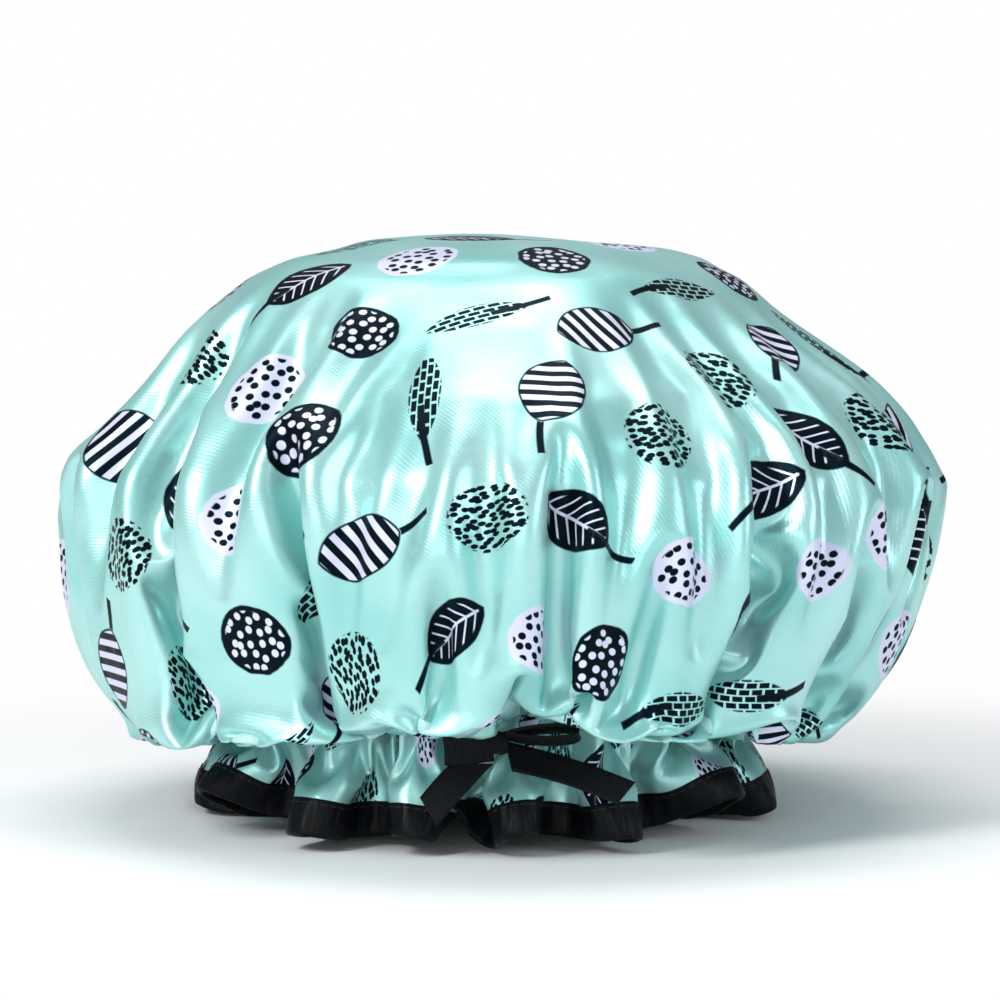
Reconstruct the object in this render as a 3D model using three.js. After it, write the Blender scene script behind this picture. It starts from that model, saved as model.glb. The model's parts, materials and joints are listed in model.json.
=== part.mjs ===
// A lined bouffant shower cap, in millimetres, +Z up, with the bow at the front, towards -Y.
// Satin and lining are cut as one round each, gathered on an elastic in a casing, and bound at the hem.
// Every sewn layer is a loft through the same rings, each moved in or out by its own stand-off.
import * as THREE from "three";

// The cap as it stands puffed up on its hem
const capWidth = 287;
const capDepth = 300;
const capHeight = 184;
const bulgeLean = 6.5; // how far the puffed side leans past the neck
const sideDroop = 14; // how far the puffs hang lower at the sides than over the bow

// The gathered neck, where the elastic draws the cloth in round the head
const neckWidth = 158;
const neckDepth = 190;
const neckHeight = 34;
const neckGather = 3;
const puffDepth = 7.5;

// The ruffle below the elastic
const hemFlare = 6;
const ruffleDepth = 5;
const hemLift = 8;

// Cloth, tape and elastic
const satinThickness = 0.5;
const liningThickness = 0.4;
const layerGap = 0.4;
const casingWidth = 12;
const casingThickness = 0.4;
const casingLip = 1.6;
const casingSlope = 0.9;
const elasticThickness = 0.9;
const bindingWidth = 11;
const bindingThickness = 0.6;

// The bow of grosgrain ribbon
const ribbonWidth = 9.5;
const ribbonThickness = 0.7;
const ribbonSteps = 10;
const knotWidth = 4.8;
const knotDepth = 4.2;
const knotHeight = 6.4;
const rightLoopLength = 21;
const rightLoopOpening = 4.4;
const rightLoopRise = 2.6; // a loop's middle above the knot's middle
const rightLoopStandOff = 2.6; // and in front of it
const leftLoopLength = 14;
const leftLoopOpening = 4.4;
const leftLoopRise = -0.6;
const leftLoopStandOff = 0.9;
const rightTailLength = 35;
const rightTailGrip = 4; // how far the tail's top edge reaches up the side of the knot
const leftTailLength = 18;
const leftTailStart = 9; // how far out the tail leaves the left loop
const tailStandOff = 1.4; // the tails' tops lie this far in front of the knot's middle
const tailCurve = 1.6; // how far a tail curves off its own straight line
const tailSlant = 3;

// How the bow's pieces turn: a fall is below the horizon, a swing is back towards the cap
const rightLoopTilt = THREE.MathUtils.degToRad(68);
const rightLoopSwing = THREE.MathUtils.degToRad(4);
const leftLoopSwing = THREE.MathUtils.degToRad(5);
const rightTailFall = THREE.MathUtils.degToRad(24);
const rightTailLean = THREE.MathUtils.degToRad(44);
const rightTailSwing = THREE.MathUtils.degToRad(13);
const leftTailFall = THREE.MathUtils.degToRad(50);
const leftTailLean = THREE.MathUtils.degToRad(18);
const leftTailSwing = THREE.MathUtils.degToRad(8);

// Shares chosen by eye. A ring: half width, height, puff depth, lean and droop.
const ringShares = [
  [0.36, 0.978, 0, 0.1, 0],
  [0.56, 0.915, 0.06, 0.25, 0],
  [0.71, 0.815, 0.18, 0.6, 0],
  [0.845, 0.7, 0.4, 0.85, 0],
  [0.955, 0.575, 0.65, 1, 0],
  [0.965, 0.44, 0.9, 1, 0.2],
  [0.925, 0.325, 1, 0.9, 0.7],
  [0.85, 0.255, 0.8, 0.7, 1],
  [0.74, 0.24, 0.15, 0.3, 0.9],
];
// A gather, from the one behind the bow: its crease's place round the neck, its depth, and its crest's hem lift
const gatherShares = [
  [-0.011, 1, 0],
  [0.031, 1.1, 0.4],
  [0.056, 0.7, 0],
  [0.089, 1.2, 0.7],
  [0.133, 1.2, 0],
  [0.175, 1, 1],
  [0.219, 0.7, 0.4],
  [0.264, 1.1, 0.9],
  [0.306, 0.8, 0],
  [0.344, 1, 0.6],
  [0.392, 0.7, 0],
  [0.433, 1.1, 0.8],
  [0.478, 0.7, 0],
  [0.525, 1, 0.5],
  [0.578, 0.7, 0],
  [0.622, 1.1, 0.8],
  [0.672, 0.6, 0],
  [0.711, 1, 0.7],
  [0.756, 0.8, 1],
  [0.8, 1.1, 0.6],
  [0.842, 0.8, 0.9],
  [0.88, 1.3, 0.3],
  [0.935, 1.1, 0.6],
];
// A loop's strands: where they swell along its length, and how far they bow out there and at the bend
const loopSwellShare = 0.35;
const loopRootShare = 1.3;
const loopTipShare = 1.4;
const gatherCount = gatherShares.length;
const frontAngle = -Math.PI / 2;
const sideways = new THREE.Vector2(1, 0);
const liningInside = satinThickness + layerGap + liningThickness;

const satinColour = 0x9fe3d8;
const liningColour = 0xf1f4f4;
const trimColour = 0x0b0e12;
const elasticColour = 0xf6f6f2;

function lerp(from, to, share) {
  return from + (to - from) * share;
}

// Two steps to a gather: the crease, then the crest half-way to the next one. side is which way it folds.
function gatherSteps() {
  return gatherShares.flatMap(([turn, depth, lift], i) => {
    const [nextTurn, nextDepth] = gatherShares[(i + 1) % gatherCount];
    const onwards = i + 1 < gatherCount ? nextTurn : nextTurn + 1;
    const angleAt = (place) => frontAngle + place * 2 * Math.PI;
    const crease = { angle: angleAt(turn), depth, lift: 0, side: -1 };
    const crestDepth = lerp(depth, nextDepth, 0.5);
    const crest = { angle: angleAt(lerp(turn, onwards, 0.5)), depth: crestDepth, lift, side: 1 };
    return [crease, crest];
  });
}

const steps = gatherSteps();

// The rings from the crown down to the elastic, then the ruffle's rings down to the floor
function crownRings() {
  return ringShares.map(([width, height, puff, lean, droop]) => ({
    halfWidth: (width * capWidth) / 2,
    halfDepth: (width * capDepth) / 2,
    height: height * capHeight,
    fold: puff * puffDepth,
    lean: (lean - 1) * bulgeLean,
    droop: droop * sideDroop,
    lift: 0,
  }));
}

function neckRing(height) {
  return {
    halfWidth: neckWidth / 2,
    halfDepth: neckDepth / 2,
    height,
    fold: neckGather,
    lean: -bulgeLean,
    droop: 0,
    lift: 0,
    foldOut: sideways,
    layerOut: sideways,
  };
}

function ruffleRing(height) {
  const neckBottom = neckHeight - casingWidth / 2;
  const flare = hemFlare * (1 - height / neckBottom);
  return {
    halfWidth: neckWidth / 2 + flare,
    halfDepth: neckDepth / 2 + flare,
    height,
    fold: ruffleDepth,
    lean: -bulgeLean,
    droop: 0,
    lift: hemLift,
    foldOut: sideways,
    layerOut: sideways,
  };
}

// The mitre between the bands above and below a ring: a layer moved along it keeps its stand-off from both
function mitreAt(before, ring, after) {
  const section = (r) => new THREE.Vector2(r.halfWidth, r.height);
  const into = section(ring).sub(section(before)).normalize();
  const onwards = section(after).sub(section(ring)).normalize();
  const sum = into.clone().add(onwards);
  const halfAngle = into.angleTo(onwards) / 2;
  return new THREE.Vector2(-sum.y, sum.x).setLength(1 / Math.cos(halfAngle));
}

function clothRings() {
  const rings = [
    { halfWidth: 0, height: capHeight },
    ...crownRings(),
    neckRing(neckHeight + casingWidth / 2),
    neckRing(neckHeight - casingWidth / 2),
    ruffleRing(bindingWidth),
    ruffleRing(bindingThickness + layerGap),
  ];
  // Down to the elastic. The ruffle's layers keep the sideways stand-off of its binding.
  rings.slice(1, -2).forEach((ring, i) => {
    ring.layerOut = mitreAt(rings[i], ring, rings[i + 2]);
    ring.foldOut ??= ring.layerOut;
  });
  return rings.slice(1);
}

function pointOn(ring, step, standOff) {
  const fold = ring.foldOut.clone().multiplyScalar(ring.fold * step.depth * step.side);
  const out = ring.layerOut.clone().multiplyScalar(standOff).add(fold);
  const droop = ring.droop * Math.cos(step.angle) ** 2;
  return new THREE.Vector3(
    ring.lean + (ring.halfWidth + out.x) * Math.cos(step.angle),
    (ring.halfDepth + out.x) * Math.sin(step.angle),
    ring.height + out.y + ring.lift * step.lift - droop,
  );
}

function rowOn(ring, standOff) {
  return steps.map((step) => pointOn(ring, step, standOff));
}

// A closed loft through rows of points. Either both ends run to a point, or the rows close on themselves.
// Faces that run down and faces that run back up share one diagonal, so that layers keep their gap.
function loft(rows, ends) {
  const round = steps.length;
  const points = rows.flat();
  const faces = [];
  const joined = ends ? rows.length - 1 : rows.length;
  for (let row = 0; row < joined; row += 1) {
    const nextRow = (row + 1) % rows.length;
    const runsDown = rows[row][0].z > rows[nextRow][0].z;
    const here = row * round;
    const next = nextRow * round;
    for (let i = 0; i < round; i += 1) {
      const j = (i + 1) % round;
      if (runsDown) faces.push(here + i, next + i, next + j, here + i, next + j, here + j);
      else faces.push(here + i, next + i, here + j, here + j, next + i, next + j);
    }
  }
  if (ends) {
    const first = points.push(ends[0]) - 1;
    const last = points.push(ends[1]) - 1;
    const lastRow = (rows.length - 1) * round;
    for (let i = 0; i < round; i += 1) {
      const j = (i + 1) % round;
      faces.push(first, i, j);
      faces.push(last, lastRow + j, lastRow + i);
    }
  }
  const geometry = new THREE.BufferGeometry().setFromPoints(points);
  geometry.setIndex(faces);
  geometry.computeVertexNormals();
  return geometry;
}

function piece(name, geometry, color, roughness) {
  const material = new THREE.MeshStandardMaterial({ color, roughness, metalness: 0 });
  const mesh = new THREE.Mesh(geometry, material);
  mesh.name = name;
  return mesh;
}

// One round of cloth: down its outer face to the hem, and back up its inner face
function clothRound(name, outside, thickness, color, roughness) {
  const rings = clothRings();
  const inside = outside - thickness;
  const rows = [
    ...rings.map((ring) => rowOn(ring, outside)),
    ...rings.toReversed().map((ring) => rowOn(ring, inside)),
  ];
  const top = (standOff) => new THREE.Vector3(-bulgeLean, 0, capHeight + standOff);
  return piece(name, loft(rows, [top(outside), top(inside)]), color, roughness);
}

// A band that runs round the neck or the hem, from its section: ring height and stand-off
function band(name, section, ringAt, color, roughness) {
  const rows = section.map(([height, standOff]) => rowOn(ringAt(height), standOff));
  return piece(name, loft(rows), color, roughness);
}

function elasticCasing() {
  const top = neckHeight + casingWidth / 2 - layerGap;
  const bottom = neckHeight - casingWidth / 2 + layerGap;
  const seam = -(liningInside + layerGap);
  const pocket = seam - elasticThickness - layerGap;
  const tape = casingThickness;
  const section = [
    [top, seam],
    [top - casingLip, seam],
    [top - casingLip - casingSlope, pocket],
    [bottom + casingLip + casingSlope, pocket],
    [bottom + casingLip, seam],
    [bottom, seam],
    [bottom, seam - tape],
    [bottom + casingLip, seam - tape],
    [bottom + casingLip + casingSlope, pocket - tape],
    [top - casingLip - casingSlope, pocket - tape],
    [top - casingLip, seam - tape],
    [top, seam - tape],
  ];
  return band("elastic_casing", section, neckRing, liningColour, 0.5);
}

function elasticBand() {
  const edge = casingWidth / 2 - casingLip - casingSlope - 2 * layerGap;
  const outside = -(liningInside + layerGap);
  const inside = outside - elasticThickness;
  const section = [
    [neckHeight + edge, outside],
    [neckHeight - edge, outside],
    [neckHeight - edge, inside],
    [neckHeight + edge, inside],
  ];
  return band("elastic_band", section, neckRing, elasticColour, 0.8);
}

// The binding folds under both cloth edges: outer leg, foot and inner leg
function hemBinding() {
  const outer = layerGap;
  const inner = -(liningInside + layerGap);
  const section = [
    [bindingWidth, outer + bindingThickness],
    [0, outer + bindingThickness],
    [0, inner - bindingThickness],
    [bindingWidth, inner - bindingThickness],
    [bindingWidth, inner],
    [bindingThickness, inner],
    [bindingThickness, outer],
    [bindingWidth, outer],
  ];
  return band("hem_binding", section, ruffleRing, trimColour, 0.35);
}

// A loop of ribbon seen along its width: two strands that leave one root and meet in a round bend
function loopOutline(length, opening, inset) {
  const half = opening / 2 - inset;
  const root = inset * 2;
  const tip = length - inset;
  const swell = lerp(root, tip, loopSwellShare);
  const path = new THREE.Path();
  path.moveTo(root, 0);
  path.bezierCurveTo(swell, -half * loopRootShare, tip, -half * loopTipShare, tip, 0);
  path.bezierCurveTo(tip, half * loopTipShare, swell, half * loopRootShare, root, 0);
  return path.getPoints(ribbonSteps).slice(0, -1);
}

function bowLoop(name, length, opening) {
  const shape = new THREE.Shape(loopOutline(length, opening, 0));
  shape.holes.push(new THREE.Path(loopOutline(length, opening, ribbonThickness)));
  const geometry = new THREE.ExtrudeGeometry(shape, { depth: ribbonWidth, bevelEnabled: false });
  geometry.translate(0, 0, -ribbonWidth / 2);
  return piece(name, geometry, trimColour, 0.6);
}

// A tail: the ribbon's thin section along a shallow curve, as wide as the ribbon.
// The start is sheared to lie along what it comes out of, and the end is cut on the slant.
function bowTail(name, length, startShear) {
  const curve = (share) => -tailCurve * Math.sin(share * Math.PI);
  const alongShares = Array.from({ length: ribbonSteps + 1 }, (_, i) => i / ribbonSteps);
  const front = alongShares.map((share) => new THREE.Vector2(length * share, curve(share)));
  const back = front.map((point) => new THREE.Vector2(point.x, point.y + ribbonThickness));
  const shape = new THREE.Shape([...front, ...back.reverse()]);
  const geometry = new THREE.ExtrudeGeometry(shape, { depth: ribbonWidth, bevelEnabled: false });
  geometry.translate(0, 0, -ribbonWidth / 2);
  const place = geometry.attributes.position;
  for (let i = 0; i < place.count; i += 1) {
    const share = place.getX(i) / length;
    const across = place.getZ(i);
    const slant = (tailSlant * across) / ribbonWidth;
    place.setX(i, place.getX(i) + lerp(startShear * across, slant, share));
  }
  geometry.computeVertexNormals();
  return piece(name, geometry, trimColour, 0.6);
}

// The knot is the ribbon's wrap round the roots: a stadium section along X
function bowKnot() {
  const radius = knotDepth / 2;
  const half = knotHeight / 2 - radius;
  const shape = new THREE.Shape();
  shape.absarc(0, half, radius, 0, Math.PI);
  shape.absarc(0, -half, radius, Math.PI, 2 * Math.PI);
  const options = { depth: knotWidth, bevelEnabled: false, curveSegments: ribbonSteps };
  const geometry = new THREE.ExtrudeGeometry(shape, options);
  geometry.translate(0, 0, -knotWidth / 2);
  geometry.rotateX(Math.PI / 2);
  geometry.rotateZ(Math.PI / 2);
  return piece("bow_knot", geometry, trimColour, 0.6);
}

// The bow is tacked to the crest of the front gather, with its pieces set out from the knot
function bow() {
  const [, frontCrest] = steps;
  const crest = pointOn(neckRing(neckHeight), frontCrest, 0);
  const group = new THREE.Group();
  group.position.set(crest.x, crest.y - layerGap - knotDepth / 2, neckHeight);
  const side = knotWidth / 2 + layerGap;
  const halfRibbon = ribbonWidth / 2;
  const rootSide = (swing) => side + halfRibbon * Math.abs(Math.sin(swing));

  const rightLoop = bowLoop("bow_loop_right", rightLoopLength, rightLoopOpening);
  rightLoop.position.set(rootSide(rightLoopSwing), -rightLoopStandOff, rightLoopRise);
  rightLoop.rotation.set(rightLoopTilt, -rightLoopSwing, 0);

  const leftLoop = bowLoop("bow_loop_left", leftLoopLength, leftLoopOpening);
  leftLoop.position.set(-rootSide(leftLoopSwing), -leftLoopStandOff, leftLoopRise);
  leftLoop.rotation.set(0, Math.PI - leftLoopSwing, 0);

  // The right tail comes out at the knot's side, and the left one from under the left loop
  const rightTail = bowTail("bow_tail_right", rightTailLength, -Math.tan(rightTailFall));
  const rightTop = rightTailGrip - knotHeight / 2;
  const rightHalfRoot = halfRibbon / Math.cos(rightTailFall);
  const rightRootDepth = rightHalfRoot * Math.sin(rightTailLean) + ribbonThickness;
  const rightSide = side + rightRootDepth * Math.sin(rightTailSwing);
  rightTail.position.set(rightSide, -tailStandOff, rightTop - rightHalfRoot);
  rightTail.rotation.set(-rightTailLean, rightTailFall, rightTailSwing, "ZXY");

  const leftTail = bowTail("bow_tail_left", leftTailLength, -1 / Math.tan(leftTailFall));
  const sag = leftTailStart * Math.sin(leftLoopSwing);
  const leftTop = leftLoopRise - halfRibbon - sag - 2 * layerGap;
  leftTail.position.set(-leftTailStart, -tailStandOff, leftTop);
  leftTail.rotation.set(-leftTailLean, Math.PI - leftTailFall, -leftTailSwing, "ZXY");

  group.add(bowKnot(), rightLoop, leftLoop, rightTail, leftTail);
  return group;
}

const cap = new THREE.Group();
cap.add(
  clothRound("satin_shell", 0, satinThickness, satinColour, 0.35),
  clothRound("waterproof_lining", -(satinThickness + layerGap), liningThickness, liningColour, 0.5),
  elasticCasing(),
  elasticBand(),
  hemBinding(),
  bow(),
);

// The origin is under the middle of the whole cap, on the surface that it stands on
const middle = new THREE.Box3().setFromObject(cap).getCenter(new THREE.Vector3());
cap.position.set(-middle.x, -middle.y, 0);

export default cap;
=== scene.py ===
"""A lined satin shower cap, gathered on an elastic, with a bound ruffle and a ribbon bow at the front.

The cap is cut as one round of satin and one of lining. The round is settled here as cloth: it is drawn in
at the elastic, puffed out over a soft filling, and its spare width falls into folds. The cloth, the bow and
the seams are worked out in millimetres, in the part's own frame: +Z up, the bow towards -Y.
"""

import json
import math

import bmesh
import bpy
import numpy as np
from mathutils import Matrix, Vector
from mathutils.bvhtree import BVHTree

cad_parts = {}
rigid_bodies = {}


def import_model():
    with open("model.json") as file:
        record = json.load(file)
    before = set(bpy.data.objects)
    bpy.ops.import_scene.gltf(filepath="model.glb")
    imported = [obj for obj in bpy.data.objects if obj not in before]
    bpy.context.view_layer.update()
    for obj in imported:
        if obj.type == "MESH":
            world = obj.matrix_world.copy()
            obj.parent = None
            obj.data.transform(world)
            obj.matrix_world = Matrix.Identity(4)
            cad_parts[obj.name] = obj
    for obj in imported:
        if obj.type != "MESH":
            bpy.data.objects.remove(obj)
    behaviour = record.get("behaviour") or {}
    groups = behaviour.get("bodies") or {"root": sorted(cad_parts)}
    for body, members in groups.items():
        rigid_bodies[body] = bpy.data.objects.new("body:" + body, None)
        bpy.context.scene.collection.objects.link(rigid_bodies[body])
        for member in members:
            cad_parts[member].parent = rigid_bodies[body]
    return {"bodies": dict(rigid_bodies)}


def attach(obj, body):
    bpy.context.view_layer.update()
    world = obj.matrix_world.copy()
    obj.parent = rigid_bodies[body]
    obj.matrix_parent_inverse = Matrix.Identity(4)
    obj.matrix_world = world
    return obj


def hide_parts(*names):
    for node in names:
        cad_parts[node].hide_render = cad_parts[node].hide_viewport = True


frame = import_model()
BODY = next(iter(frame["bodies"]))
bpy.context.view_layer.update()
MM = 0.001

# The round of cloth: its flat radius at the elastic, what hangs below it, and how finely it is modelled
SEAM_RADIUS = 289
RUFFLE_DROP = 40
HEM_RADIUS = SEAM_RADIUS + RUFFLE_DROP
CROWN_SQUARES = 184
RUFFLE_ROWS = 10
RUFFLE_FULLNESS = 1.75
CASING_ROWS = 2
CASING_END = SEAM_RADIUS + RUFFLE_DROP * CASING_ROWS / RUFFLE_ROWS
BINDING_WIDTH = 11
CASING_FULLNESS = 1.9
# Its spare width: flat radius, and how many times wider than the puff the cloth is cut
SPARE_WIDTH = np.array([
    (0, 1.02), (100, 1.05), (150, 1.12), (190, 1.36), (230, 1.68), (260, 1.95), (295, 1.9),
])

# The neck ring, where the elastic holds the cloth, and the room that the ruffle keeps to at the sides
NECK_MIDDLE = -6.65
NECK_RADIUS = 79
NECK_STRETCH = 190 / 158
NECK_HEIGHT = 38.5
RUFFLE_REACH = 92

# The lowest that the hem and the puffs hang, how much lower the puffs hang at the sides, and the room over
# the bow: x from and to, and the height above it, near the neck and farther out
HEM_FLOOR = 2
PUFF_FLOOR = 38
SIDE_SAG = 14
OVER_BOW = [(-1, 25, 42, 42), (-22, -1, 39.5, 36)]

# What moves the cloth in each step: its weight, the air in the puffs, and the ruffle's own spring
WEIGHT = 0.009
PUFF_PUSH = 0.007
RUFFLE_PUSH = 0.005
# Folds of cloth that are over FOLD_REACH apart when flat stay FOLD_GAP apart
FOLD_GAP = 2.6
FOLD_REACH = 9
NEXT_CELLS = [(0, 0, 0), (0, 0, 1)]
NEXT_CELLS += [(0, 1, z) for z in (-1, 0, 1)]
NEXT_CELLS += [(1, y, z) for y in (-1, 0, 1) for z in (-1, 0, 1)]

# The outline of the filled cap: height, and how far it reaches to the left and to the right
OUTLINE = np.array([
    (20, 95, 85), (30, 122, 108), (46, 133, 123), (64, 139, 132), (88, 142, 140), (112, 140, 140),
    (124, 130, 133), (136, 119, 122), (157, 102, 95), (176, 76, 69), (184, 50, 45), (190, 10, 10),
], float)
# How much deeper than wide the puffs and the crown are
DEPTH_SHARE = 1.06
CROWN_STRETCH = 1.045
# The filling: how far inside the outline it ends, how lumpy it is, how far it moves a point in a step, and
# its top: radius and height
FILLING_INSET = 9
FILLING_LUMP = 0.045
FILLING_STEP = 1.2
FILLING_TOP = np.array([
    (0, 182.5), (45, 181.5), (65, 176), (76, 171), (85, 164.5), (93, 158), (100, 151), (108, 143),
    (115, 137), (125, 119),
], float)
# The round before it settles: radius and height from the crown's middle down to the elastic
FIRST_SHAPE = np.array([
    (0, 189), (43, 187.9), (70, 180), (94, 163), (116, 140), (136, 118), (141, 95), (138, 60),
    (129, 38), (110, 29), (79, NECK_HEIGHT),
], float)
BULGE_LEAN = 6.5
# The main creases: degrees round from the front, depth, flat radius where each fades out, lean in degrees
CREASES = [
    (-171, 1.0, 150, 4), (-152, 0.7, 190, 0), (-136, 1.1, 130, -5), (-118, 0.6, 190, 0),
    (-104, 1.0, 150, 4), (-88, 0.8, 180, 0), (-72, 1.1, 140, -4), (-57, 0.7, 190, -3),
    (-44, 1.5, 95, -12), (-33, 0.7, 190, -3), (-23, 1.0, 150, -5), (-8, 1.0, 190, 2),
    (7, 1.1, 185, 0), (17, 0.8, 190, 3), (31, 1.2, 120, 9), (48, 1.2, 110, 12), (63, 1.0, 160, 5),
    (79, 0.7, 190, 0), (95, 1.1, 140, -5), (110, 0.8, 180, 0), (124, 1.0, 150, 4),
    (141, 0.7, 190, 0), (156, 1.1, 130, 5),
]
# Along each crease: flat radius and depth in millimetres, flat radius and width in degrees
CREASE_DEPTH = np.array([(0, 0), (110, 0.3), (150, 5), (200, 14), (250, 19), (280, 13), (295, 4), (310, 0)])
CREASE_WIDTH = np.array([(100, 7), (200, 5), (295, 4.6)])
CREASE_FADE = [0, 5, 14, 19, 13, 4, 0]
CREASE_END = [265, 285, 295, 310]
# The frill's depth from above the elastic down to the hem
FRILL_DEPTH = [0, 1, 2.5, 10, 14]

# Each kind of stitch: its length, the gap to the next and its thickness
HEM_STITCH = (2.2, 0.9, 0.3)
CASING_STITCH = (1.9, 0.9, 0.34)
TACK_STITCH = (1.6, 0.4, 0.4)

# The bow of ribbon: the ribbon's own sizes, the knot's middle, size and points round and along it, and
# how far each loop and tail reaches into the knot
RIBBON_WIDTH = 9.5
RIBBON_THICKNESS = 0.7
RIB_PITCH = 0.8
KNOT_MIDDLE = (-1.63, -99.92, 34)
KNOT_SIZE = (5.6, 4.6, 6.8)
KNOT_ROUND = 96
KNOT_ALONG = 21
TUCK = 1.2
RIGHT_LOOP_LENGTH = 21
LEFT_LOOP_LENGTH = 14
LOOP_OPENING = 4.4
LOOP_CUP = 0.3
# The tails: how long they are, how far they curve, how they cup, and how their two ends are cut
RIGHT_TAIL_LENGTH = 35
RIGHT_TAIL_CURVE = 1.6
RIGHT_TAIL_SLANT = (-0.445, 0.32)
LEFT_TAIL_LENGTH = 18
LEFT_TAIL_CURVE = 1.2
LEFT_TAIL_SLANT = (-0.84, 0.32)
TAIL_CUP = -0.3


def curve_through(points, along):
    """Reads a smooth curve through (place, value) pairs at each place in along"""
    places, values = points
    slopes = np.gradient(values, places)
    i = np.clip(np.searchsorted(places, along) - 1, 0, len(places) - 2)
    gap = places[i + 1] - places[i]
    t = (along - places[i]) / gap
    return (
        (2 * t**3 - 3 * t**2 + 1) * values[i] + (t**3 - 2 * t**2 + t) * gap * slopes[i]
        + (3 * t**2 - 2 * t**3) * values[i + 1] + (t**3 - t**2) * gap * slopes[i + 1]
    )


def lengths_along(line):
    return np.r_[0, np.cumsum(np.linalg.norm(np.diff(line, axis=0), axis=1))]


def quads(rows, closed=False):
    """The four-sided faces between rows of point numbers"""
    here = np.arange(len(rows) if closed else len(rows) - 1)
    after = (here + 1) % len(rows)
    corners = [rows[here][:, :-1], rows[after][:, :-1], rows[after][:, 1:], rows[here][:, 1:]]
    return np.stack(corners, -1).reshape(-1, 4)


def normals_of(points, faces):
    across = np.cross(points[faces[:, 2]] - points[faces[:, 0]], points[faces[:, 3]] - points[faces[:, 1]])
    total = np.stack([
        sum(np.bincount(faces[:, corner], across[:, axis], len(points)) for corner in range(4))
        for axis in range(3)
    ], -1)
    return total / (np.linalg.norm(total, axis=1, keepdims=True) + 1e-9)


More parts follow.
